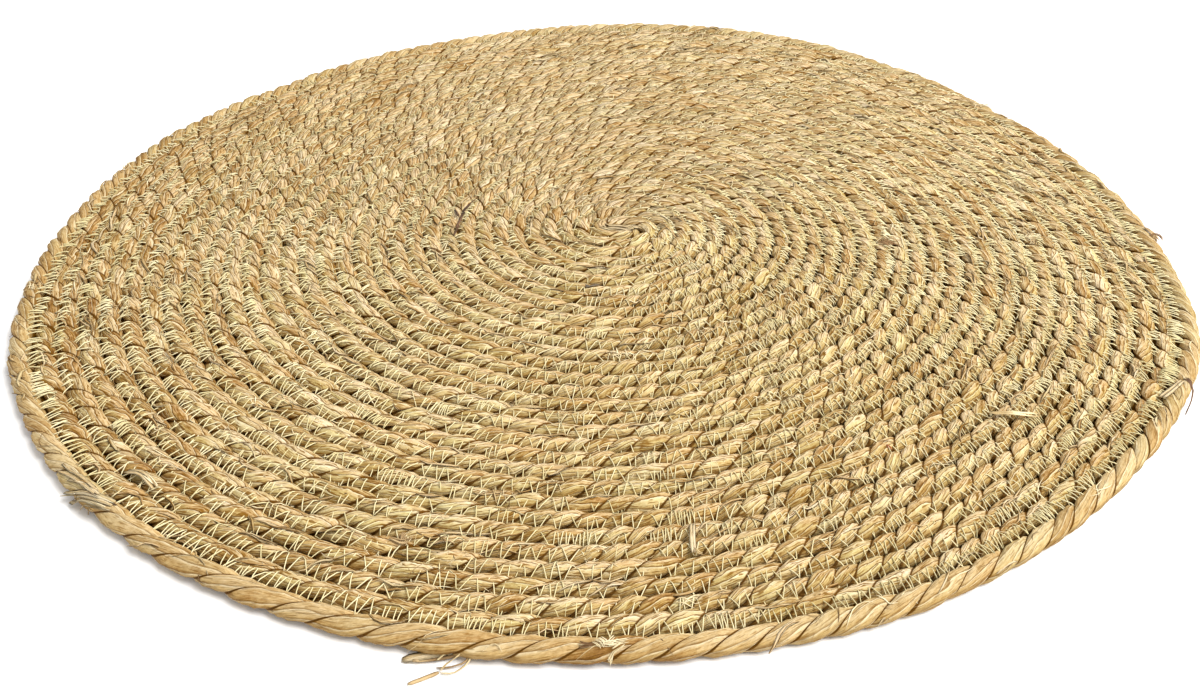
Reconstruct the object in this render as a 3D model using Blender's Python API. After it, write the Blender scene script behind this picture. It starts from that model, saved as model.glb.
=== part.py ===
"""A round table mat: one twisted straw rope wound in a flat spiral and lying flat.

The turns are sewn side by side, so the mat is one solid: a flat underside, a rib for each turn, and a
thicker outer turn whose twist stands out. Loose straws lie under its front edge.
Metres, +Z up. The origin is on the underside, at the middle of the spiral.
"""

import math

import bmesh
import bpy

# The winding: it runs clockwise outwards, seen from above.
TURN_PITCH = 0.00581
TURNS = 32.5
FIRST_TURN = 0.5
END_ANGLE = math.radians(33)
TURN_HEIGHT = 0.0056
GROOVE_HEIGHT = 0.0034
MIDDLE_HEIGHT = 0.0046

# The outer turn, which no other turn hides.
EDGE_RADIUS = 0.0034
EDGE_STAND_OUT = 0.0006
EDGE_SWELL_TURNS = 0.08
TAPER_TURNS = 0.035
TAPERED_SHARE = 0.6
CREASE_SHARE = 0.8
LUMPS = 120
STEPS_PER_LUMP = 3
LUMP_SIZES = (1.0, 1.02, 0.97, 1.03, 0.99, 1.0, 0.96)

# Across the outer turn, from its top outwards and down, in shares of its radius.
EDGE_PROFILE = (
    # outwards, upwards from the rope's middle
    (0.00, 1.00),
    (0.74, 0.70),
    (1.00, 0.00),
    (0.74, -0.72),
    (0.25, -1.00),
)

# How far the round outline is out of true, as waves that grow from the middle to the edge.
WAVES = (
    # waves around, height at the edge, angle of a crest
    (1, 0.0015, math.radians(280)),
    (2, 0.0018, math.radians(30)),
    (3, 0.0025, math.radians(86)),
    (4, 0.0014, math.radians(76)),
    (5, 0.0005, math.radians(68)),
)

# Around the winding, coarse steps carry the ribs and fine steps the outer turn's twist.
STEPS = 45
EDGE_STEPS = LUMPS * STEPS_PER_LUMP
FINE_PER_STEP = EDGE_STEPS // STEPS

# Straws on the floor under the edge: bends in metres, with the width of the straw at each.
STRAW_THICKNESS = 0.0005
STRAWS = {
    "straw_ribbon": (
        # x, y, width
        (-0.0360, -0.1858, 0.0014),
        (-0.0405, -0.1862, 0.0018),
        (-0.0449, -0.1859, 0.0023),
        (-0.0487, -0.1853, 0.0026),
    ),
    "straw_stem": (
        (-0.0381, -0.1879, 0.0008),
        (-0.0401, -0.1893, 0.0010),
        (-0.0432, -0.1903, 0.0012),
        (-0.0465, -0.1919, 0.0013),
    ),
}

STRAW_COLOR = (0.56, 0.40, 0.20, 1)
LOOSE_STRAW_COLOR = (0.50, 0.36, 0.17, 1)


def clear_scene():
    for item in list(bpy.data.objects):
        bpy.data.objects.remove(item, do_unlink=True)


def eased(share):
    """0 to 1 with level ends, for a share that may lie outside them."""
    share = min(max(share, 0.0), 1.0)
    return share * share * (3 - 2 * share)


def winding_angle(turns):
    return END_ANGLE + math.tau * (TURNS - turns)


def out_of_true(angle):
    return sum(height * math.cos(count * (angle - crest)) for count, height, crest in WAVES)


def edge_share(turns):
    """0 on the inner turns, 1 on the outer one, with the swell between them."""
    return eased((turns - (TURNS - 1 - EDGE_SWELL_TURNS)) / (2 * EDGE_SWELL_TURNS))


def row_radius(turns):
    """From the origin to the middle of the rope, after so many turns from the winding's start."""
    even = TURN_PITCH * turns + EDGE_STAND_OUT * edge_share(turns)
    grown = (turns / TURNS) ** 2
    return even + grown * out_of_true(winding_angle(turns))


def at(turns, outwards, height):
    """The point beside the rope's middle at this turn."""
    radius = row_radius(turns) + outwards
    angle = winding_angle(turns)
    return radius * math.cos(angle), radius * math.sin(angle), height


def edge_radius(turns):
    """The outer turn's own radius, which drops towards the rope's end."""
    left = (TURNS - turns) / TAPER_TURNS
    return EDGE_RADIUS * (TAPERED_SHARE + (1 - TAPERED_SHARE) * eased(left))


def edge_point(column, row):
    """A point of the outer turn's skin, drawn in where the two strands meet."""
    turns = TURNS - 1 + column / EDGE_STEPS
    radius = edge_radius(turns)
    outwards, upwards = EDGE_PROFILE[row]
    in_lump = (column - row) % STEPS_PER_LUMP
    size = CREASE_SHARE
    if in_lump:
        size = LUMP_SIZES[(column - row) // STEPS_PER_LUMP % len(LUMP_SIZES)]
    shift = radius - EDGE_RADIUS
    height = 0.0
    if row < len(EDGE_PROFILE) - 1:
        height = radius * (1 + size * upwards)
    return at(turns, shift + radius * size * outwards, height)


def ribbed_mat():
    """The sewn spiral as one closed mesh, built strip by strip along the winding."""
    mesh = bmesh.new()
    last = round((TURNS - 1 - FIRST_TURN) * STEPS)
    profile = [
        [mesh.verts.new(edge_point(column, row)) for column in range(EDGE_STEPS + 1)]
        for row in range(len(EDGE_PROFILE))
    ]
    crests = []
    grooves = []
    for step in range(last):
        turns = FIRST_TURN + step / STEPS
        rise = (2 * EDGE_RADIUS - TURN_HEIGHT) * edge_share(turns)
        crests.append(mesh.verts.new(at(turns, 0, TURN_HEIGHT + rise)))
        grooves.append(mesh.verts.new(at(turns, TURN_PITCH / 2, GROOVE_HEIGHT)))
    crests.append(profile[0][0])
    grooves.append(profile[1][0])

    for step in range(last):
        mesh.faces.new((crests[step], crests[step + 1], grooves[step + 1], grooves[step]))
    for step in range(last - STEPS):
        further = step + STEPS
        mesh.faces.new((grooves[step], grooves[step + 1], crests[further + 1], crests[further]))
    for step in range(STEPS):
        sew_to_edge(mesh, grooves[last - STEPS + step :][:2], profile[0], step * FINE_PER_STEP)
    skin_of_edge(mesh, profile)
    close_middle(mesh, crests[: STEPS + 1] + [grooves[0]])
    mesh.faces.new([row[0] for row in profile[1:]] + [row[-1] for row in reversed(profile)])
    mesh.faces.new(profile[-1])
    bmesh.ops.triangulate(mesh, faces=mesh.faces)
    bmesh.ops.recalc_face_normals(mesh, faces=mesh.faces)
    return mesh


def sew_to_edge(mesh, pair, crest, first):
    """One coarse step of groove joined to the fine steps of the outer turn's top."""
    half = first + FINE_PER_STEP // 2
    for column in range(first, first + FINE_PER_STEP):
        groove = pair[0] if column < half else pair[1]
        mesh.faces.new((groove, crest[column], crest[column + 1]))
    mesh.faces.new((pair[0], crest[half], pair[1]))


def skin_of_edge(mesh, profile):
    """The outer turn's skin, cut along the creases so that the twist reads."""
    for upper, lower in zip(profile, profile[1:]):
        for column in range(EDGE_STEPS):
            mesh.faces.new((upper[column], upper[column + 1], lower[column + 1]))
            mesh.faces.new((upper[column], lower[column + 1], lower[column]))


def close_middle(mesh, ring):
    """A low cone of faces over the start of the rope."""
    middle = mesh.verts.new((0, 0, MIDDLE_HEIGHT))
    for one, other in zip(ring, ring[1:] + ring[:1]):
        mesh.faces.new((middle, one, other))


def straw(bends):
    """A flat straw that lies level, as a box swept along its bends."""
    mesh = bmesh.new()
    sections = []
    for number, (x, y, width) in enumerate(bends):
        before = bends[max(number - 1, 0)]
        after = bends[min(number + 1, len(bends) - 1)]
        along = math.atan2(after[1] - before[1], after[0] - before[0])
        side = (-math.sin(along) * width / 2, math.cos(along) * width / 2)
        corners = ((1, 0), (-1, 0), (-1, STRAW_THICKNESS), (1, STRAW_THICKNESS))
        sections.append([mesh.verts.new((x + sign * side[0], y + sign * side[1], z)) for sign, z in corners])
    for one, other in zip(sections, sections[1:]):
        for corner in range(4):
            following = (corner + 1) % 4
            mesh.faces.new((one[corner], one[following], other[following], other[corner]))
    mesh.faces.new(sections[0])
    mesh.faces.new(sections[-1])
    bmesh.ops.recalc_face_normals(mesh, faces=mesh.faces)
    return mesh


def material(name, color, roughness):
    made = bpy.data.materials.new(name)
    made.use_nodes = True
    shader = made.node_tree.nodes["Principled BSDF"]
    shader.inputs["Base Color"].default_value = color
    shader.inputs["Roughness"].default_value = roughness
    shader.inputs["Metallic"].default_value = 0
    made.diffuse_color = color
    return made


def add(name, mesh, finish):
    data = bpy.data.meshes.new(name)
    mesh.to_mesh(data)
    mesh.free()
    data.materials.append(finish)
    item = bpy.data.objects.new(name, data)
    bpy.context.scene.collection.objects.link(item)
    return item


def main():
    clear_scene()
    mat = add("coiled_mat", ribbed_mat(), material("straw_rope", STRAW_COLOR, 0.75))
    mat.data.shade_smooth()
    mat.data.set_sharp_from_angle(angle=math.radians(50))
    loose = material("loose_straw", LOOSE_STRAW_COLOR, 0.6)
    for name, bends in STRAWS.items():
        add(name, straw(bends), loose)


main()
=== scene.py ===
"""A round table mat in a studio: one twisted straw rope, wound flat and sewn with zigzag stitches.

The rope, the sewing thread, the stray fibres and the loose straws are meshes worked out along the winding.
Metres, +Z up. The winding is the CAD model's, turn by turn, with its origin at the middle of the spiral.
"""

import math
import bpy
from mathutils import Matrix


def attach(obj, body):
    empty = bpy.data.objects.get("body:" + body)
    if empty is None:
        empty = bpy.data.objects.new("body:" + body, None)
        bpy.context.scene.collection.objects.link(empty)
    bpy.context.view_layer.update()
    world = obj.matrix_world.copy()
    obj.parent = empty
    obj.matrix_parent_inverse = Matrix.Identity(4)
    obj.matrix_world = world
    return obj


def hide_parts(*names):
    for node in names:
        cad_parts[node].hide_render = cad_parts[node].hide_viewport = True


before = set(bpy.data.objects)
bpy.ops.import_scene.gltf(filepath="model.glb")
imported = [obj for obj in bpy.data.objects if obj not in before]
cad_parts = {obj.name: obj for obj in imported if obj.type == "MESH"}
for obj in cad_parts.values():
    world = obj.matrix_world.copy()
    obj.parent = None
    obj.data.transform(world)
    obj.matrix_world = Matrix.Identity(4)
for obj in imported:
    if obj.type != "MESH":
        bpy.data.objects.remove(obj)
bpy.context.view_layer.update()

from types import SimpleNamespace

import bpy
import numpy as np
from mathutils import Matrix, Vector

# The winding: it runs clockwise outwards, seen from above.
TURN_PITCH = 0.00581
TURNS = 32.5
FIRST_TURN = 0.10
COURSE_STEPS = 60000
END_ANGLE = math.radians(33)
EDGE_STAND_OUT = 0.0006
EDGE_SWELL_TURNS = 0.08
TAPER_TURNS = 0.04
TAPERED_SHARE = 0.6
WAVES = (
    # waves around, height at the edge, angle of a crest in degrees
    (1, 0.0015, 280),
    (2, 0.0018, 30),
    (3, 0.0025, 86),
    (4, 0.0014, 76),
    (5, 0.0005, 68),
)

# Short bends of the outer turns, which die away over this many turns inwards.
BEND_TURNS = 3.5
BENDS = (
    # angle of the middle and half of the width in degrees, shift outwards at the edge
    (26, 9, 0.0028),
    (49, 6, -0.0026),
    (141, 6, -0.0015),
    (160, 6, 0.0010),
    (203, 8, 0.0010),
    (262, 50, 0.0003),
    (291, 8, 0.0009),
    (318, 7, -0.0008),
    (338, 8, 0.0017),
    (358, 8, -0.0013),
)

# The first turns are drawn out to an oval, which rounds off over these turns.
OVAL = 0.0030
OVAL_TURNS = 4.0
OVAL_STARTS_OVER = 1.2

# The rope. Its half width and half height, on the turns inside and on the outer turn.
ROW_HALF_WIDTH = 0.00310
LEFT_WIDER = 0.00018
RIGHT_NARROWER = 0.00014
ROW_HALF_HEIGHT = 0.00275
EDGE_RADIUS = 0.0031
EDGE_DRAWN_IN = 0.0001
CORE_TURNS = 0.7
CORE_SHARE = 0.52
FLOOR_GAP = 0.0001
ROW_LIFT = 0.00015

# Each of its two strands is a plump half, cut in at the creases between them by these shares of the radius.
CREASE_DEPTH_ON_TOP = 0.31
CREASE_DEPTH_AT_SIDE = 0.34
CREASE_SWING = 0.04
MIDDLE_FLATTER = 0.12
MIDDLE_TURNS = 9.0
EDGE_DEPTH_ON_TOP = 0.34
EDGE_DEPTH_AT_SIDE = 0.28
CREASE_POWER = 3.2
# How much the strands are pressed flat: under 0 they turn down faster at the sides.
PRESSED = -0.14
EDGE_PRESSED = 0.05

# How uneven the rope is: the strands' share of it and their size, their lay, and where the rope lies.
STRAND_LEAN = 0.17
STRAND_LEAN_LENGTH = 0.045
LEAN_SIZE = 0.30
SIZE_SPREAD = 0.15
EDGE_SIZE_SPREAD = 0.05
BULGE = 0.075
BULGE_LENGTH = 0.0065
PHASE_DRIFT = math.radians(14)
PHASE_DRIFT_LENGTH = 0.012
ROW_WANDER = 0.00022
EDGE_WANDER_SHARE = 0.4
WANDER_LENGTH = 0.021
ROW_RISE = 0.00022
RISE_LENGTH = 0.034
MAT_RISE = 0.0003
MAT_RISE_WAVES = 3
MAT_RISE_TURNS = 5
LUMP_LENGTHS = (
    # turns, length of one lump
    (0.0, 0.0078),
    (4.0, 0.0070),
    (12.0, 0.0069),
    (20.0, 0.0074),
    (27.0, 0.0081),
    (31.4, 0.0084),
    (31.5, 0.0075),
    (31.66, 0.0076),
    (31.72, 0.0098),
    (31.86, 0.0104),
    (31.92, 0.0112),
    (32.03, 0.0112),
    (32.07, 0.0080),
    (32.5, 0.0076),
)
LAY_DRIFT = 0.30
EDGE_LAY_DRIFT = 0.14
LAY_DRIFT_LENGTH = 0.035
END_TWIST = math.radians(105.05)

# The bundles of slivers and the straw finish work in millimetres. The finish takes half of a strand's skin to
# be this wide, lets a strand run on by this share of the rope's length, and starts each strand elsewhere.
MM_PER_METRE = 1000
HALF_SKIN = 4.3
STRAND_TRAVEL = 1.45
STRAND_START = 7300
BLADE_START = 37.0

# Where the straw is paler, darker or redder. A lump's own tone and hue lie between -1 and 1.
EDGE_PALE = 0.65
EDGE_PALE_SWING = 0.3
EDGE_PALE_AT = math.radians(100)
EDGE_STRETCHES = (
    # angle of the middle and half of the width in degrees, change of tone
    (20, 9, -1.20),
    (150, 26, -0.85),
    (185, 30, -0.65),
    (228, 14, 0.75),
    (269, 7, -1.90),
)
EDGE_RED = 0.9
EDGE_RED_DEGREES = (262, 38)
# Painted shade: how much darker the inner turns are towards the right, towards the left, and in the outer
# third at the left.
RIGHT_PAINTED_SHADE = 0.35
RIGHT_PAINTED_SHADE_AT = -0.4
LEFT_PAINTED_SHADE = 0.2
LEFT_RIM_PAINTED_SHADE = 1.2
LEFT_RIM_PAINTED_SHADE_AT = math.pi + 0.3

# The rope's pieces: turns from and to, space between rings, skin points on each strand.
ROPE_PIECES = {
    "rope_middle": (FIRST_TURN, 18.6, 0.00130, 8),
    "rope_inner": (18.6, 26.3, 0.00130, 8),
    "rope_outer": (26.3, TURNS - 1, 0.00115, 8),
    "rope_edge": (TURNS - 1, TURNS, 0.00075, 12),
}

# Slivers of straw that have come away from the strands, alone or around rough spots. How far outwards from
# the rope's middle they lie is given as a mean and a spread.
STRAY_POINTS = 6
STRAY_REACH = (0.6, TURNS - 0.02)
STRAY_BESIDE = (0.0004, 0.0014)
STRAY_FARTHEST = 0.0028
STRAY_SLANT = math.radians(14)
STRAY_SLANT_SPREAD = math.radians(26)
STRAY_CURL = 0.35
STRAY_DIP = 0.0004
STRAY_CLEAR = 0.00012
STRAY_LIFT = 0.00028
STRAY_LIFT_SHAPE = 1.3
STRAY_LIFT_SHARE = 0.6
STRAY_SUNK = 0.0001
STRAY_FLAT = 0.45
STRAY_TAPER = (0.75, 2)
ROUGH_SPOTS = 90
ROUGH_SHARE = 0.5
ROUGH_LENGTH = 0.0028
ROUGH_SLANT_SPREAD = math.radians(50)
ROUGH_SHORTER = 0.55
STRAY_PIECES = {
    # count, radius from and to, length from and to
    "stray_pale": (1500, (0.00008, 0.00026), (0.003, 0.010)),
    "stray_dark": (900, (0.00006, 0.00018), (0.003, 0.011)),
    "stray_blade": (900, (0.00035, 0.00070), (0.006, 0.013)),
}
BLADE_FLAT = 0.30
BLADE_SLANT_SHARE = 0.5
BLADE_LIFT_SHARE = 0.4

# Bundles of loose slivers seen at certain places, in millimetres.
FRAYS = (
    # tone, slivers, half spread at the start and at the end, width of one, then bends as x, y and height
    # The fan of blades at the left rim, with thin dark slivers at their roots that also paint the shade
    # beneath the blades.
    ("leaf", 1, 0, 0, 2.6, (-126.6, -138.6, 6.4), (-133, -135.4, 5.8), (-142.3, -131.2, 3)),
    ("leaf", 1, 0, 0, 2.2, (-127, -139.6, 6), (-132.5, -137, 5), (-139.6, -133.4, 2.6)),
    ("leaf", 1, 0, 0, 1.8, (-127, -140.6, 5.6), (-131.5, -138.8, 4.2), (-136.8, -135.6, 2)),
    ("leaf", 1, 0, 0, 2, (-128.5, -139.9, 5), (-134, -136.8, 3.4), (-140.6, -132.6, 1.6)),
    ("leaf", 1, 0, 0, 1.6, (-131.6, -135.8, 6.6), (-136, -131.8, 6.3), (-141.6, -129.2, 4.4)),
    ("leaf", 2, 0.5, 0.5, 1.1, (-132.4, -134.9, 6.6), (-137, -130.8, 6.5), (-141.6, -127.4, 6),
     (-145.6, -124.5, 5)),
    ("dark", 3, 0.3, 0.7, 0.3, (-125.6, -139.4, 5.4), (-129.5, -138.6, 4.4), (-133.5, -137.6, 3.2)),
    ("dark", 2, 0.3, 0.4, 0.2, (-131, -136.6, 6.6), (-135.6, -134, 6), (-139.6, -132.4, 4.6)),
    # The tuft of thread ends at the front rim.
    ("white", 7, 0.5, 0.9, 0.26, (2.2, -184.6, 6.7), (-2.2, -185.8, 7), (-6.4, -185, 6.6)),
    ("white", 7, 1.2, 1.2, 0.24, (-5.5, -184.4, 6.9), (-4.2, -185.6, 7.1), (-3.8, -186.8, 6.6)),
    ("white", 7, 1.6, 1.2, 0.24, (-0.5, -184.4, 6.9), (-1.6, -185.6, 7.1), (-2.8, -186.6, 6.6)),
    ("brown", 6, 0.4, 1, 0.35, (-5.8, -185.6, 6.4), (-7.6, -185.8, 6.4), (-9.8, -185.4, 6.2)),
    ("white", 2, 0.1, 0.2, 0.45, (0.8, -186.2, 6.7), (-1.7, -187.6, 5.8), (-2.5, -188.4, 4)),
    ("white", 8, 0.1, 0.9, 0.22, (-1.7, -187.5, 5.6), (-2.3, -188.3, 4.6), (-2.8, -188.9, 3.4)),
    # A bent blade inside the left rim.
    ("leaf", 2, 0.5, 0.4, 1.5, (-127.8, -126.5, 6), (-124.7, -127.1, 6.6), (-122, -128.9, 6.6),
     (-118.3, -133, 6)),
    ("white", 3, 0.6, 0.5, 0.4, (-122.6, -128.2, 6.6), (-120.6, -130.4, 6.7), (-118.2, -133.2, 6.2)),
    # Hairs and brown slivers at the right rim.
    ("dark", 1, 0, 0, 0.3, (186.6, -1, 5.6), (187.6, -0.6, 5.9), (189, -0.4, 6)),
    ("tan", 5, 0.6, 1, 0.9, (186, -1.5, 6.2), (187.6, -4.5, 5.8), (188.3, -8, 4.8)),
    ("brown", 3, 0.4, 0.1, 0.6, (185.4, -6.6, 5.2), (187.6, -5.6, 6.6), (189.4, -7.4, 6.6),
     (190.6, -11.2, 4.8)),
    ("dark", 2, 0.2, 0.05, 0.4, (167.6, -88.5, 4.8), (169, -90.4, 3.8), (166.7, -95.3, 2.6),
     (163.3, -100, 1)),
    ("dark", 4, 0.5, 0.3, 0.4, (166.2, -88.3, 5.8), (167.6, -90.4, 5.2), (167.6, -92.4, 4)),
    ("pale", 5, 0.2, 1.2, 0.14, (168, -88.3, 5), (169.8, -88.6, 4.8), (171.2, -88.6, 5.2)),
    # A blade that lies across the rows at the right.
    ("leaf", 2, 0.4, 0.7, 1.2, (165, -90.2, 6.5), (159.7, -95.4, 7), (156, -98.3, 6.5)),
    # The rope's frayed end.
    ("pale", 9, 0.6, 1.4, 0.35, (152.7, 104.1, 4.6), (155, 103.5, 5), (157.8, 101.8, 4.6)),
    ("dark", 4, 0.5, 0.4, 0.6, (155.2, 100.6, 4.4), (157.2, 98.9, 3.6), (158.2, 97, 2.6)),
    # A pale blade at the front right.
    ("pale", 3, 0.2, 0.7, 0.9, (103.2, -104.6, 6.4), (109.8, -105.5, 7.2), (118, -106.4, 6.8)),
    # Painted shade: the crack left of the middle, drawn as dark slivers over the rows for the shade down in
    # it.
    ("dark", 1, 0, 0, 0.8, (-56.8, -7, 6), (-56.3, 0.1, 6)),
    ("dark", 1, 0, 0, 1.05, (-56.5, -2, 6), (-55.6, 5.3, 6)),
    ("dark", 1, 0, 0, 1.05, (-55.7, 4, 6), (-55.3, 10, 6)),
    ("dark", 1, 0, 0, 0.9, (-55.5, 8.6, 6), (-53.4, 14.8, 6)),
    ("dark", 1, 0, 0, 0.45, (-53.6, 14, 6), (-51.6, 18.6, 6)),
    ("dark", 1, 0, 0, 0.8, (-58.4, 10.4, 6), (-56.2, 5.6, 6)),
    # Rough spots in brown, grey and tan.
    ("brown", 12, 1.3, 1.5, 0.45, (142.6, -67, 5.2), (144.1, -69.8, 5.6), (145.6, -72.8, 5)),
    ("dark", 2, 0.3, 0.2, 0.4, (146.2, -62, 4), (145.8, -66, 4.2), (145.9, -70, 4)),
    ("brown", 11, 1.2, 1.6, 0.5, (90, -8.6, 5.2), (92.4, -10.8, 5.6), (95.2, -12.6, 5)),
    ("grey", 5, 0.7, 0.4, 0.5, (-11.6, -37.6, 4.6), (-8.8, -37.9, 4.8), (-6.4, -37, 4.6)),
    ("tan", 10, 0.8, 2.2, 0.35, (-53.2, -153.4, 5.8), (-52.8, -151.9, 6.7), (-51.8, -150.2, 6.6)),
    ("tan", 3, 0.3, 0.6, 0.5, (-56.4, -151.6, 6.2), (-53.2, -153.4, 6.5), (-49.6, -152.6, 6.4)),
    # A pale blade across the rows at the front, and a short red one.
    ("leaf", 2, 0.32, 0.32, 1.3, (18.1, -147.6, 6.3), (17.9, -150.8, 6.8), (17.8, -154.2, 6.8),
     (18, -157.6, 6.4)),
    ("pale", 3, 0.3, 0.5, 0.4, (18, -156.3, 6.8), (19, -158.2, 6.8), (20.4, -158, 6.4)),
    ("red", 3, 0.3, 0.3, 0.6, (72, -118, 5.3), (73, -118.3, 5.3), (74, -118.9, 5.3)),
    # Blades over the winding's middle.
    ("leaf", 5, 1.6, 1.4, 1.3, (-7, -0.8, 4.2), (-2, -0.2, 4.4), (3, 0.2, 4.4), (8, 1, 4.2)),
    ("leaf", 3, 0.8, 1.2, 1.1, (-5.5, 1.8, 4.3), (0.5, 0.6, 4.7), (6, -1.2, 4.3)),
)
FLOOR_STRAWS = {
    "ribbon_slivers": (
        ("leaf", 1, 0, 0, 3.4, (-36.3, -182.9, 1.9), (-41.2, -183.5, 1.5), (-45.3, -183.9, 1.2),
         (-49.2, -184.1, 0.9)),
        ("tan", 2, 0.3, 0.5, 1.2, (-36.3, -183.4, 1.4), (-41.2, -184.2, 1), (-46.8, -184.6, 0.7)),
        ("white", 1, 0, 0, 0.7, (-41.3, -185.6, 1.4), (-38.9, -184.3, 2.6)),
    ),
    "stem_slivers": (
        ("tan", 1, 0, 0, 1, (-40.5, -188.2, 0.9), (-43.4, -189.5, 0.7), (-46.9, -191.3, 0.5)),
        ("pale", 2, 0.1, 0.1, 0.35, (-40.4, -188.3, 1), (-39, -187, 2), (-36.8, -185.8, 2.6),
         (-35, -184, 2.4)),
        ("pale", 2, 0.1, 0.15, 0.42, (-33, -183.9, 2.2), (-34.5, -187, 1.5), (-37.3, -188.6, 0.7),
         (-40.3, -188.3, 0.9)),
        ("tan", 2, 0.15, 0.15, 0.4, (-41.3, -186.8, 0.6), (-38.6, -187, 0.8), (-35.1, -186.4, 1.3),
         (-33.6, -184.8, 1.9)),
    ),
}
FRAY_TONES = {
    # darkest, palest
    "white": ((0.60, 0.48, 0.26), (0.91, 0.80, 0.54)),
    "pale": ((0.50, 0.36, 0.17), (0.88, 0.74, 0.45)),
    "tan": ((0.28, 0.175, 0.080), (0.56, 0.40, 0.205)),
    "dark": ((0.035, 0.018, 0.012), (0.16, 0.085, 0.045)),
    "brown": ((0.085, 0.038, 0.012), (0.36, 0.21, 0.095)),
    "grey": ((0.105, 0.085, 0.062), (0.21, 0.17, 0.12)),
    "red": ((0.22, 0.055, 0.02), (0.50, 0.20, 0.08)),
}
LEAF_TONES = (-0.2, 1.0)
LEAF_FLAT = 0.16
SLIVER_FLAT = 0.3
FRAY_POINTS = 9
FRAY_STEPS = 33
FRAY_ROUNDINGS = 10
FRAY_STARTS = (0, 0.12)
FRAY_ENDS = (0.72, 1.0)
FRAY_UNEVEN = 0.25
FRAY_WAVER = 0.0003
FRAY_SHIFT = 0.00025
FRAY_WIDTHS = (0.7, 1.15)
FRAY_CLEAR = 0.0003
FRAY_FLOOR_CLEAR = 0.0004
# How slivers taper, here as above: the share of the width that is lost at the ends, and how late that comes.
SLIVER_TAPER = (0.75, 4)
BLADE_TAPER = (0.45, 12)
BLADE_FROM_WIDTH = 0.75

# The zigzag seam over each groove, from near a rope's crest to the near flank of the next rope.
THREAD_RADIUS = 0.00018
SEAM_PIECES = {
    "seam_middle": (0.9, 19.5),
    "seam_inner": (19.5, 26.5),
    "seam_outer": (26.5, TURNS - 1.01),
}
STITCH_STEP = 0.0042
EDGE_STITCH_STEP = 0.0032
LEFT_CLOSER = 0.28
RIGHT_CLOSER = 0.42
DENSE_CHANCE = 0.025
DENSE_LENGTHS = (0.003, 0.009)
DENSE_SHARE = 0.45
STITCH_SPREAD = 0.22
SHORTEST_STITCH = 0.4
CORNER_PLACES = (0.0, 0.14, 0.45, 0.70)
CORNER_SPREAD = 0.10
LEFT_CORNER_SPREAD = 0.24
CORNER_MOST = 1.5
REACH_MOST = 1.6
MIDDLE_SHORT = 0.0013
MIDDLE_SHORT_TURNS = 7.0
MIDDLE_SHORT_OUTSIDE = 0.3
INNER_REACH = -0.0004
RIGHT_SHORT_INSIDE = 0.0006
BACK_SHORT_INSIDE = 0.0010
BACK_SHORT_AT = math.pi / 2 + 0.5
INNER_SPREAD = 0.0004
OUTER_SHORT = 0.0021
RIGHT_LONG_OUTSIDE = 0.0001
OUTER_SPREAD = 0.00040
LEG_POINTS = (0.20, 0.68)
LEG_SAG = 0.00020
THREAD_CLEAR = 0.00018
STITCH_DEPTH = 0.0004

# The bed of packed straw inside the rope: its heights, and its end beyond the outer turn's middle.
BED_FIRST_TURN = 0.5
BED_STEPS = 90
BED_CREST = 0.0032
BED_GROOVE = 0.0022
BED_RIM = -0.0006

# Finding the rope's top at a place: the angles that are tried, and how near one of them has to come.
TOP_POINTS = 61
TOP_MARGIN = 0.02
TOP_NEAR = 0.0004

# Where each random draw starts. What counts on from one stays below the next.
SEEDS = SimpleNamespace(
    lay=11, phase=12, wander=21, rise=22, lean=23, size=31, tone=41, hue=51,
    seam=71, rough_spots=80, stray=81, bulge=100, frays=201, floor=301, floor_step=10,
)


def eased(share):
    """0 to 1 with level ends, for a share that may lie outside them."""
    share = np.clip(share, 0.0, 1.0)
    return share * share * (3 - 2 * share)


def drift(place, length, seed):
    """A smooth random course between -1 and 1, with a new aim after each such length."""
    knots = place / length
    first = np.floor(knots).astype(int)
    lowest = first.min()
    aims = np.random.default_rng(seed).uniform(-1, 1, first.max() - lowest + 2)
    share = eased(knots - first)
    return aims[first - lowest] * (1 - share) + aims[first - lowest + 1] * share


def winding_angle(turns):
    return END_ANGLE + math.tau * (TURNS - turns)


def out_of_true(angle):
    return sum(height * np.cos(count * (angle - math.radians(crest))) for count, height, crest in WAVES)


def near_angle(angle, middle, width):
    """1 at the middle of a stretch around the mat, given in degrees, and falling off on both sides of it."""
    away = (angle - math.radians(middle) + math.pi) % math.tau - math.pi
    return np.exp(-((away / math.radians(width)) ** 2))


def toward(angle, middle):
    """1 at this angle around the mat, and 0 from a quarter turn away from it."""
    return np.clip(np.cos(angle - middle), 0, 1)


def bend(angle):
    return sum(shift * near_angle(angle, middle, width) for middle, width, shift in BENDS)


def edge_share(turns):
    """0 on the inner turns, 1 on the outer one, with the swell between them."""
    return eased((turns - (TURNS - 1 - EDGE_SWELL_TURNS)) / (2 * EDGE_SWELL_TURNS))


def between(inner, outer, share):
    """A value that has one size on the inner turns and another on the outer one."""
    return inner + (outer - inner) * share


def row_radius(turns):
    """From the origin to the middle of the rope, after so many turns from the winding's start."""
    angle = winding_angle(turns)
    even = TURN_PITCH * turns + EDGE_STAND_OUT * edge_share(turns)
    kept = np.exp((turns - TURNS + 0.5) / BEND_TURNS)
    oval = OVAL * (1 - np.exp(-turns / OVAL_STARTS_OVER)) * np.exp(-turns / OVAL_TURNS) * np.cos(2 * angle)
    return even + (turns / TURNS) ** 2 * out_of_true(angle) + kept * bend(angle) + oval


def at(turns, outwards, height):
    """Points beside the rope's middle at these turns."""
    radius = row_radius(turns) + outwards
    angle = winding_angle(turns)
    return np.stack([radius * np.cos(angle), radius * np.sin(angle), height + 0 * radius], axis=-1)


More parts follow.
